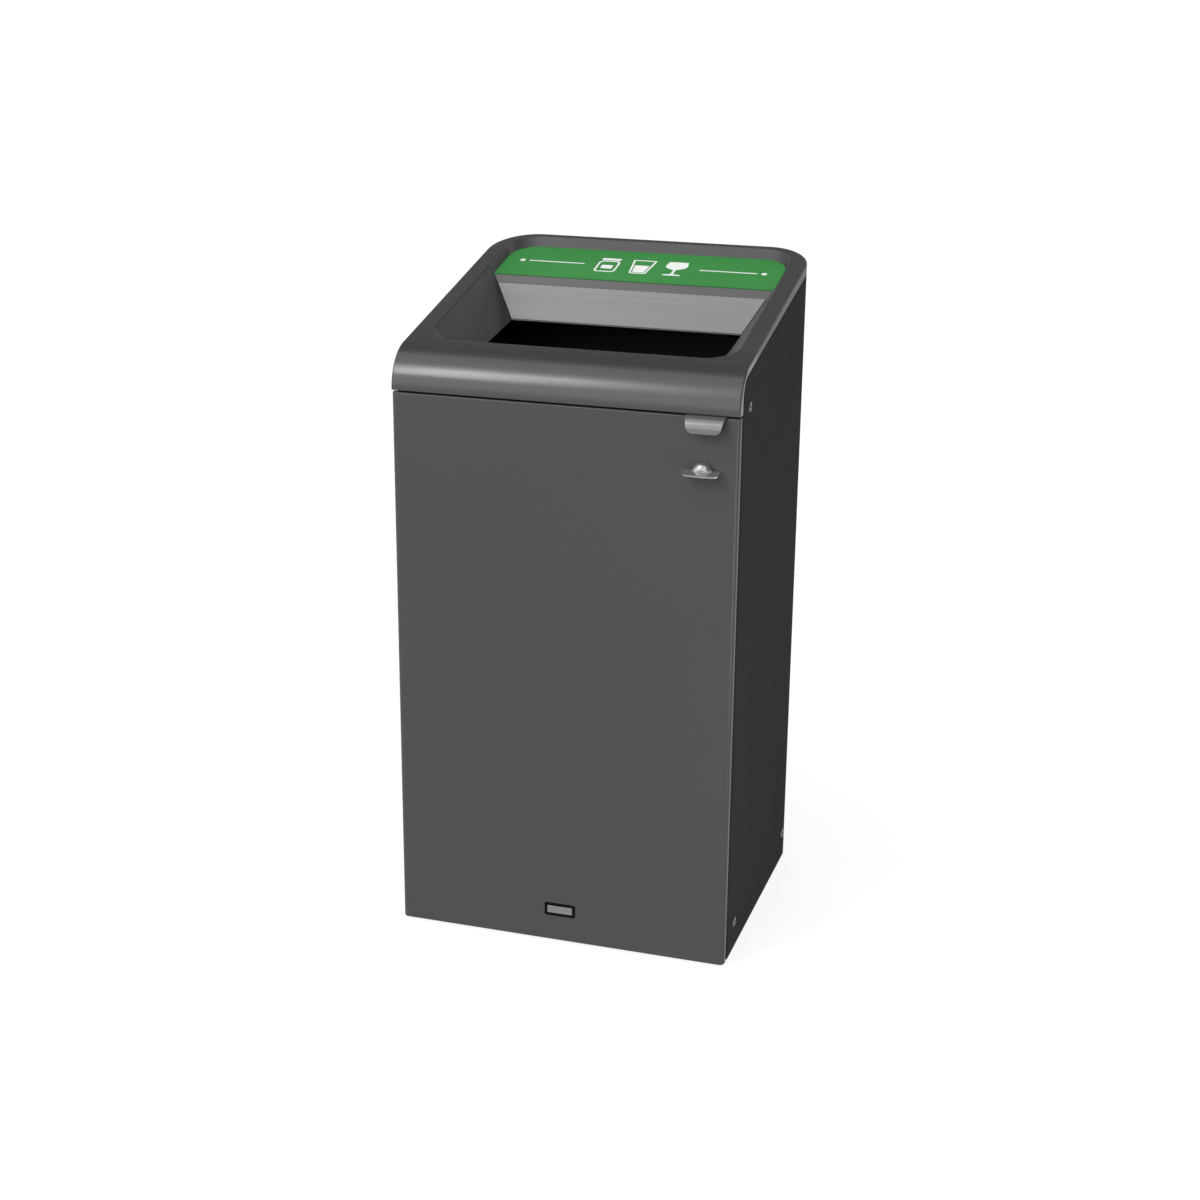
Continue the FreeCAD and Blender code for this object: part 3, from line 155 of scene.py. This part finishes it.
def moulding(name, colour, roughness, specular, grain, depth=0.01 * MM, streaks=0.0, worn=None):
    """Moulded plastic with a fine grain, and faint flow lines along X."""
    shader = Shader(name, colour, roughness, specular=specular)
    shader.mottle(shader.noise(scale=12.0, detail=3.0), darker=0.96, lighter=1.04)
    flow = FLOW_X if streaks else EVEN
    shader.gloss(shader.noise(scale=120.0, detail=3.0, stretch=flow), spread=0.03, worn=worn)
    shader.bump(shader.noise(scale=grain, detail=2.0), height=depth)
    if streaks:
        shader.bump(shader.noise(scale=220.0, detail=3.0, stretch=flow), height=streaks)
    return shader.material


def brushed(name, colour, roughness, stretch, metallic):
    """Metal with fine lines along one axis."""
    shader = Shader(name, colour, roughness, metallic=metallic)
    lines = shader.noise(scale=60.0, detail=5.0, stretch=stretch)
    shader.mottle(lines, darker=0.92, lighter=1.07)
    shader.gloss(lines, spread=0.05)
    shader.bump(lines, height=0.02 * MM)
    return shader.material


# The shell and the door are one charcoal paint; the shell's grey is set darker than the door's, painted
# shade that keeps the sides and back dark.
SHELL_GREY_PAINTED_SHADE = (0.039, 0.039, 0.0395)
DOOR_GREY = (0.056, 0.056, 0.0565)
LID_GREY = (0.039, 0.039, 0.0395)
INNER_GREY = (0.016, 0.016, 0.0163)
LINER_GREY = (0.02, 0.02, 0.0205)
RUBBER_GREY = (0.02, 0.02, 0.02)
SCREW_BLACK = (0.016, 0.016, 0.016)
# The head rail is painted near black, darker than the other inner parts: painted shade in the gap under the
# lid.
RAIL_PAINTED_SHADE = (0.003, 0.003, 0.003)
BADGE_BLACK = (0.005, 0.005, 0.0052)
BADGE_SILVER = (0.2, 0.2, 0.2)
CHUTE_STEEL = (0.16, 0.16, 0.164)
PLATED_STEEL = (0.34, 0.34, 0.33)
BRIGHT_STEEL = (0.32, 0.32, 0.32)
PULL_STEEL = (0.16, 0.16, 0.163)
GREEN = (0.041, 0.226, 0.053)
PRINT_WHITE = (0.74, 0.76, 0.74)

# The roll at the front is rubbed smoother than the lid behind it: from where, to where, by how much.
WORN_ROLL = (-0.13, -0.09, 0.2)

looks = {
    # The shell's paint holds painted shade: its grey is darker than the door's paint.
    "body_paint": paint("body_paint", SHELL_GREY_PAINTED_SHADE, roughness=0.6, specular=0.005),
    "inner_paint": paint("inner_paint", INNER_GREY, roughness=0.6, specular=0.08),
    "lid_moulding": moulding(
        "lid_moulding", LID_GREY, roughness=0.27, specular=0.5,
        grain=450.0, depth=0.005 * MM, streaks=0.025 * MM, worn=WORN_ROLL,
    ),
    "chute_metal": brushed("chute_metal", CHUTE_STEEL, roughness=0.52, stretch=LONG_X, metallic=0.3),
    "sign_face": moulding("sign_face", GREEN, roughness=0.5, specular=0.15, grain=700.0),
    "plated_steel": brushed("plated_steel", PLATED_STEEL, roughness=0.42, stretch=LONG_Z, metallic=1.0),
    "black_screw": paint("black_screw", SCREW_BLACK, roughness=0.24, specular=0.7),
    "bright_metal": brushed("bright_metal", BRIGHT_STEEL, roughness=0.2, stretch=SOFT_X, metallic=0.75),
    "pull_metal": brushed("pull_metal", PULL_STEEL, roughness=0.3, stretch=CURL_X, metallic=0.6),
    "badge_metal": moulding("badge_metal", BADGE_BLACK, roughness=0.4, specular=0.03, grain=900.0),
    "soft_rubber": moulding(
        "soft_rubber", RUBBER_GREY, roughness=0.75, specular=0.3, grain=800.0, depth=0.04 * MM,
    ),
    "liner_plastic": moulding("liner_plastic", LINER_GREY, roughness=0.55, specular=0.2, grain=1300.0),
}
door_paint = paint("door_paint", DOOR_GREY, roughness=0.4, specular=0.3)
# Painted shade for the gap under the lid.
rail_painted_shade = paint("rail_painted_shade", RAIL_PAINTED_SHADE, roughness=0.8, specular=0.0)
sign_print = moulding("sign_print", PRINT_WHITE, roughness=0.5, specular=0.15, grain=700.0)
badge_silver = brushed("badge_silver", BADGE_SILVER, roughness=0.4, stretch=LONG_X, metallic=0.4)


def finish_with(piece, material):
    piece.data.materials.clear()
    piece.data.materials.append(material)


for part in frame["record"]["subparts"]:
    finish_with(nodes[part["node"]], looks[part["material_slot"]])
finish_with(nodes["door_panel"], door_paint)
# The head rail, seen through the gap under the lid, gets the painted shade.
finish_with(nodes["head_rail"], rail_painted_shade)


# Helpers for small pieces

SMOOTH_BELOW = math.radians(32.0)
ARC_STEPS = 6


def piece_from_rings(name, stacks, material, body):
    """One piece of closed solids, each a stack of rings: capped, or a loop if it ends where it began."""
    build = bmesh.new()
    for rings in stacks:
        looped = rings[0] is rings[-1]
        rows = [[build.verts.new(point) for point in ring] for ring in (rings[:-1] if looped else rings)]
        if looped:
            rows.append(rows[0])
        for lower, upper in zip(rows, rows[1:]):
            for i, point in enumerate(lower):
                j = (i + 1) % len(lower)
                build.faces.new((point, lower[j], upper[j], upper[i]))
        if not looped:
            build.faces.new(rows[0])
            build.faces.new(rows[-1])
    bmesh.ops.recalc_face_normals(build, faces=build.faces)
    mesh = bpy.data.meshes.new(name)
    build.to_mesh(mesh)
    build.free()
    mesh.shade_smooth()
    mesh.set_sharp_from_angle(angle=SMOOTH_BELOW)
    piece = bpy.data.objects.new(name, mesh)
    scene.collection.objects.link(piece)
    finish_with(piece, material)
    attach(piece, body)
    return piece


def rounded(corners):
    """A closed outline from corners (x, y, radius), each rounded by an arc."""
    points = []
    for i, (x, y, radius) in enumerate(corners):
        here = Vector((x, y))
        to_last = (Vector(corners[i - 1][:2]) - here).normalized()
        to_next = (Vector(corners[(i + 1) % len(corners)][:2]) - here).normalized()
        half = to_last.angle(to_next) / 2
        middle = here + (to_last + to_next).normalized() * (radius / math.sin(half))
        start = here + to_last * (radius / math.tan(half)) - middle
        end = here + to_next * (radius / math.tan(half)) - middle
        sweep = start.angle_signed(end)
        for step in range(ARC_STEPS + 1):
            points.append(middle + Matrix.Rotation(-sweep * step / ARC_STEPS, 2) @ start)
    return points


def rounded_bar(width, height, radius):
    half_x = width / 2
    half_y = height / 2
    return rounded([
        (-half_x, -half_y, radius), (half_x, -half_y, radius),
        (half_x, half_y, radius), (-half_x, half_y, radius),
    ])


# Screws in the sides, with a domed head and a hexagon socket

SCREW_POINTS = 24
SCREW_REACH = 15 * MM
SOCKET_FLAT = 2.0 * MM
SOCKET_DEPTH = 1.3 * MM
CROWN_RADIUS = 3.0 * MM
HEAD_EDGE = 0.5 * MM
SHANK_CHAMFER = 0.5 * MM
DOME_STEPS = 5


def screw_groups(mesh):
    """The vertices of each screw of the group, told apart by their place."""
    groups = []
    for vertex in mesh.vertices:
        spot = vertex.co
        for group in groups:
            first = group[0]
            if first.x * spot.x > 0 and (first.yz - spot.yz).length < SCREW_REACH:
                group.append(spot.copy())
                break
        else:
            groups.append([spot.copy()])
    return groups


def screw_rings(spots, seat):
    """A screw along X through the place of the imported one, its head on the side's outer face."""
    side = math.copysign(1.0, spots[0].x)
    depths = [side * spot.x for spot in spots]
    inner, outer = min(depths), max(depths)
    low_y, high_y = min(spot.y for spot in spots), max(spot.y for spot in spots)
    low_z, high_z = min(spot.z for spot in spots), max(spot.z for spot in spots)
    middle_y = (low_y + high_y) / 2
    middle_z = (low_z + high_z) / 2
    head_radius = (high_y - low_y) / 2
    shank_spots = [spot for spot in spots if side * spot.x < inner + MM]
    shank_radius = max(math.hypot(spot.y - middle_y, spot.z - middle_z) for spot in shank_spots)

    def ring(depth, radius_at):
        points = []
        for step in range(SCREW_POINTS):
            turn_angle = 2 * math.pi * step / SCREW_POINTS
            radius = radius_at(turn_angle)
            points.append((
                side * depth,
                middle_y + radius * math.cos(turn_angle),
                middle_z + radius * math.sin(turn_angle),
            ))
        return points

    def circle(depth, radius):
        return ring(depth, lambda turn_angle: radius)

    def hexagon(depth):
        sector = math.pi / 3
        return ring(depth, lambda turn_angle: SOCKET_FLAT / math.cos(
            (turn_angle + sector / 2) % sector - sector / 2))

    rings = [
        circle(inner, shank_radius - SHANK_CHAMFER),
        circle(inner + SHANK_CHAMFER, shank_radius),
        circle(seat, shank_radius),
        circle(seat, head_radius),
    ]
    dome_height = outer - seat - HEAD_EDGE
    for step in range(DOME_STEPS + 1):
        rise = math.pi / 2 * step / DOME_STEPS
        rings.append(circle(
            seat + HEAD_EDGE + dome_height * math.sin(rise),
            CROWN_RADIUS + (head_radius - CROWN_RADIUS) * math.cos(rise),
        ))
    rings.append(hexagon(outer))
    rings.append(hexagon(outer - SOCKET_DEPTH))
    return rings


shell_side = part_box("wrap_shell")[1][0]
side_buttons = piece_from_rings(
    "side_buttons",
    [screw_rings(spots, shell_side) for spots in screw_groups(nodes["side_screws"].data)],
    looks["black_screw"], "cabinet",
)
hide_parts("side_screws")


# Blank badge on the door, with a raised rim around a sunk field

BADGE_CORNER = 2.2 * MM
BADGE_BEVEL = 0.25 * MM
RIM_WIDTH = 1.2 * MM
RIM_SLOPE = 0.25 * MM
FIELD_DEPTH = 0.4 * MM
FIELD_MARGIN = 3.6 * MM
FIELD_RISE = 0.2 * MM
FIELD_BEVEL = BADGE_BEVEL / 2

badge_low, badge_high = (Vector(corner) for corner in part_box("blank_badge"))
badge_middle = (badge_low + badge_high) / 2
badge_size = badge_high - badge_low
field_floor = badge_low.y + FIELD_DEPTH


def badge_ring(inset, y):
    radius = max(BADGE_CORNER - inset, BADGE_BEVEL)
    outline = rounded_bar(badge_size.x - 2 * inset, badge_size.z - 2 * inset, radius)
    return [(badge_middle.x + point.x, y, badge_middle.z + point.y) for point in outline]


badge_plate = piece_from_rings(
    "badge_plate",
    [[
        badge_ring(0.0, badge_high.y),
        badge_ring(0.0, badge_low.y + BADGE_BEVEL),
        badge_ring(BADGE_BEVEL, badge_low.y),
        badge_ring(RIM_WIDTH, badge_low.y),
        badge_ring(RIM_WIDTH + RIM_SLOPE, field_floor),
    ]],
    looks["badge_metal"], "door",
)
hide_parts("blank_badge")

piece_from_rings(
    "badge_field",
    [[
        badge_ring(FIELD_MARGIN, field_floor + FIELD_RISE),
        badge_ring(FIELD_MARGIN, field_floor - FIELD_RISE + FIELD_BEVEL),
        badge_ring(FIELD_MARGIN + FIELD_BEVEL, field_floor - FIELD_RISE),
    ]],
    badge_silver, "door",
)


# Plain motifs on the sign: a jar, a tumbler and a stemmed glass between two rules

PRINT_RISE = 0.15 * MM
PRINT_SINK = 0.1 * MM
TOP_FACING = 0.9
# The motifs' places and outlines are in millimetres from the middle of the sign.
MOTIF_PITCH = 44
RULE_PLACE = 112
DOT_PLACE = 158
CAP_PLACE = 18.2
LABEL_PLACE = -6

sign_mesh = nodes["sign_plate"].data
sign_tops = [face for face in sign_mesh.polygons if face.normal.z > TOP_FACING]
sign_normal = max(sign_tops, key=lambda face: face.area).normal.copy()
sign_spots = [sign_mesh.vertices[i].co for face in sign_tops for i in face.vertices]
sign_height = max(sign_normal.dot(spot) for spot in sign_spots)
sign_across = Vector((1.0, 0.0, 0.0))
sign_up = sign_normal.cross(sign_across)
sign_runs = [sign_up.dot(spot) for spot in sign_spots]
sign_middle = sign_up * ((min(sign_runs) + max(sign_runs)) / 2)


def print_ring(outline, shift_x, shift_y, rise):
    """An outline in millimetres, laid on the sign."""
    return [
        sign_middle + sign_normal * (sign_height + rise)
        + sign_across * ((point.x + shift_x) * MM) + sign_up * ((point.y + shift_y) * MM)
        for point in outline
    ]


def print_rings(outline, shift_x, shift_y, hole=None):
    """A thin raised print on the sign, a solid shape or a line around a hole."""
    low = print_ring(outline, shift_x, shift_y, -PRINT_SINK)
    rings = [low, print_ring(outline, shift_x, shift_y, PRINT_RISE)]
    if hole:
        rings.append(print_ring(hole, shift_x, shift_y, PRINT_RISE))
        rings.append(print_ring(hole, shift_x, shift_y, -PRINT_SINK))
        rings.append(low)
    return rings


jar_wall = rounded([
    (-14, -22, 5), (14, -22, 5), (14, 8, 4), (10.5, 13, 1), (-10.5, 13, 1), (-14, 8, 4),
])
jar_room = rounded([
    (-11.6, -19.6, 3), (11.6, -19.6, 3), (11.6, 7, 3), (9, 10.6, 0.6), (-9, 10.6, 0.6), (-11.6, 7, 3),
])
jar_cap = rounded_bar(width=25, height=6, radius=1.6)
jar_label = rounded_bar(width=15, height=11, radius=1.6)
tumbler_wall = rounded([(-11, -22, 3.2), (11, -22, 3.2), (15.5, 21, 1), (-15.5, 21, 1)])
tumbler_room = rounded([(-8.8, -19.6, 1.6), (8.8, -19.6, 1.6), (12.8, 18.6, 0.6), (-12.8, 18.6, 0.6)])
tumbler_fill = rounded([(-7.4, -17.8, 1), (7.4, -17.8, 1), (9.6, 4, 0.8), (-9.6, 4, 0.8)])
stemmed_glass = rounded([
    (-11.5, -22, 1), (11.5, -22, 1), (11.5, -19.4, 1), (1.6, -17.6, 2.4), (1.6, -4, 2.4), (14.6, 3, 9),
    (12.4, 21, 0.8), (-12.4, 21, 0.8), (-14.6, 3, 9), (-1.6, -4, 2.4), (-1.6, -17.6, 2.4), (-11.5, -19.4, 1),
])
rule = rounded_bar(width=74, height=2.4, radius=1.1)
dot = rounded_bar(width=7, height=7, radius=3.4)

motifs = [
    (jar_wall, -MOTIF_PITCH, 0, jar_room),
    (jar_cap, -MOTIF_PITCH, CAP_PLACE),
    (jar_label, -MOTIF_PITCH, LABEL_PLACE),
    (tumbler_wall, 0, 0, tumbler_room),
    (tumbler_fill, 0, 0),
    (stemmed_glass, MOTIF_PITCH, 0),
]
for side in (-1, 1):
    motifs.append((rule, side * RULE_PLACE, 0))
    motifs.append((dot, side * DOT_PLACE, 0))
piece_from_rings(
    "sign_motifs", [print_rings(*motif) for motif in motifs], sign_print, "cabinet",
)


# Floor and sky

WHITE = (1.0, 1.0, 1.0, 1.0)
VIEW_RAYS = ("Is Camera Ray", "Is Glossy Ray", "Is Transmission Ray")
FLOOR_REACH = 60.0
FLOOR_TONE = 0.2
FLOOR_ROUGHNESS = 0.9
# The floor's own white, seen but not shed on the bin.
FLOOR_GLOW = 0.85
AMBIENT = 0.22
# The backdrop is white up to one height of the view's direction, and dark as a ceiling from another.
HORIZON_END = 0.3
CEILING_START = 0.4
CEILING = 0.1


def view_rays(tree):
    """1 for the rays that show the background: straight, mirrored or through glass."""
    rays = tree.nodes.new("ShaderNodeLightPath")
    seen = rays.outputs[VIEW_RAYS[0]]
    for kind in VIEW_RAYS[1:]:
        either = tree.nodes.new("ShaderNodeMath")
        either.operation = "MAXIMUM"
        tree.links.new(seen, either.inputs[0])
        tree.links.new(rays.outputs[kind], either.inputs[1])
        seen = either.outputs[0]
    return seen


def add_floor():
    """A wide plane that keeps the bin's shadow and shows as white."""
    bpy.ops.mesh.primitive_plane_add(size=2 * FLOOR_REACH, location=(0.0, 0.0, 0.0))
    floor = bpy.context.object
    floor.name = "floor"
    shader = Shader("floor_white", (FLOOR_TONE,) * 3, FLOOR_ROUGHNESS, specular=0.0)
    shader.bsdf.inputs["Emission Color"].default_value = WHITE
    glow = shader.tree.nodes.new("ShaderNodeMath")
    glow.operation = "MULTIPLY"
    glow.inputs[1].default_value = FLOOR_GLOW
    shader.tree.links.new(view_rays(shader.tree), glow.inputs[0])
    shader.tree.links.new(glow.outputs[0], shader.bsdf.inputs["Emission Strength"])
    finish_with(floor, shader.material)


def add_sky():
    """A soft even light, behind a white backdrop with a dark ceiling for the rays that show it."""
    scene.world = bpy.data.worlds.new("studio")
    scene.world.use_nodes = True
    tree = scene.world.node_tree
    tree.nodes.clear()
    output = tree.nodes.new("ShaderNodeOutputWorld")
    soft = tree.nodes.new("ShaderNodeBackground")
    soft.inputs["Color"].default_value = WHITE
    soft.inputs["Strength"].default_value = AMBIENT
    backdrop = tree.nodes.new("ShaderNodeBackground")
    backdrop.inputs["Strength"].default_value = 1.0
    direction = tree.nodes.new("ShaderNodeTexCoord")
    axes = tree.nodes.new("ShaderNodeSeparateXYZ")
    tree.links.new(direction.outputs["Generated"], axes.inputs[0])
    ceiling = tree.nodes.new("ShaderNodeValToRGB")
    low, high = ceiling.color_ramp.elements
    low.position = HORIZON_END
    low.color = WHITE
    high.position = CEILING_START
    high.color = (CEILING, CEILING, CEILING, 1.0)
    tree.links.new(axes.outputs["Z"], ceiling.inputs["Fac"])
    tree.links.new(ceiling.outputs["Color"], backdrop.inputs["Color"])
    blend = tree.nodes.new("ShaderNodeMixShader")
    tree.links.new(view_rays(tree), blend.inputs["Fac"])
    tree.links.new(soft.outputs[0], blend.inputs[1])
    tree.links.new(backdrop.outputs[0], blend.inputs[2])
    tree.links.new(blend.outputs[0], output.inputs["Surface"])


add_floor()
add_sky()


# Lamps

SUN_DISTANCE = 5.0


def add_lamp(data, place, target):
    lamp = bpy.data.objects.new(data.name, data)
    scene.collection.objects.link(lamp)
    lamp.location = place
    towards = Vector(target) - lamp.location
    lamp.rotation_euler = towards.to_track_quat("-Z", "Y").to_euler()
    return lamp


def area(name, place, target, size, power):
    data = bpy.data.lights.new(name, "AREA")
    data.shape = "RECTANGLE"
    data.size, data.size_y = size
    data.energy = power
    return add_lamp(data, place, target)


def sun(name, comes_from, strength, spread):
    data = bpy.data.lights.new(name, "SUN")
    data.energy = strength
    data.angle = math.radians(spread)
    return add_lamp(data, Vector(comes_from) * SUN_DISTANCE, (0.0, 0.0, 0.0))


sun("key", comes_from=(-0.3, -0.66, 0.69), strength=0.84 * math.pi, spread=90.0)
# A weak fill on the back and the hinge side; it is too low to light the lid much, and casts no glints.
back_fill = sun("back_fill", comes_from=(-0.45, 0.87, 0.2), strength=0.6 * math.pi, spread=40.0)
back_fill.visible_glossy = False
# The highlight along the lid's front roll.
area("roll_strip", place=(-1.2, -2.33, 2.62), target=(-0.2, -0.18, 0.7), size=(0.42, 1.15), power=32.0)
# The light edges of the door and the lid on the latch side, and a little light on that side.
area("edge_strip", place=(1.12, -0.74, 0.22), target=(0.2, -0.18, 0.4), size=(0.5, 0.42), power=4.5)
# A little light on the chute's left wall.
area("chute_fill", place=(0.96, 0.96, 1.6), target=(-0.14, 0.0, 0.7), size=(0.25, 0.25), power=2.5)


# Camera at the photograph's place, turned by its azimuth, elevation and roll

AZIMUTH = math.radians(17.23)
ELEVATION = math.radians(18.55)
ROLL = math.radians(0.53)
PLACE = Vector((0.71408, -2.33038, 1.20754))
FOCAL_PIXELS = 2040.7
FRAME_PIXELS = 1200
SENSOR_MM = 36.0

back = Vector((
    math.sin(AZIMUTH) * math.cos(ELEVATION),
    -math.cos(AZIMUTH) * math.cos(ELEVATION),
    math.sin(ELEVATION),
))
flat_right = Vector((math.cos(AZIMUTH), math.sin(AZIMUTH), 0.0))
flat_up = back.cross(flat_right)
right = math.cos(ROLL) * flat_right + math.sin(ROLL) * flat_up
up = math.cos(ROLL) * flat_up - math.sin(ROLL) * flat_right
camera_data = bpy.data.cameras.new("camera")
camera_data.sensor_width = SENSOR_MM
camera_data.lens = FOCAL_PIXELS / FRAME_PIXELS * SENSOR_MM
camera = bpy.data.objects.new("camera", camera_data)
scene.collection.objects.link(camera)
turn = Matrix((right, up, back)).transposed()
camera.matrix_world = Matrix.Translation(PLACE) @ turn.to_4x4()
scene.camera = camera
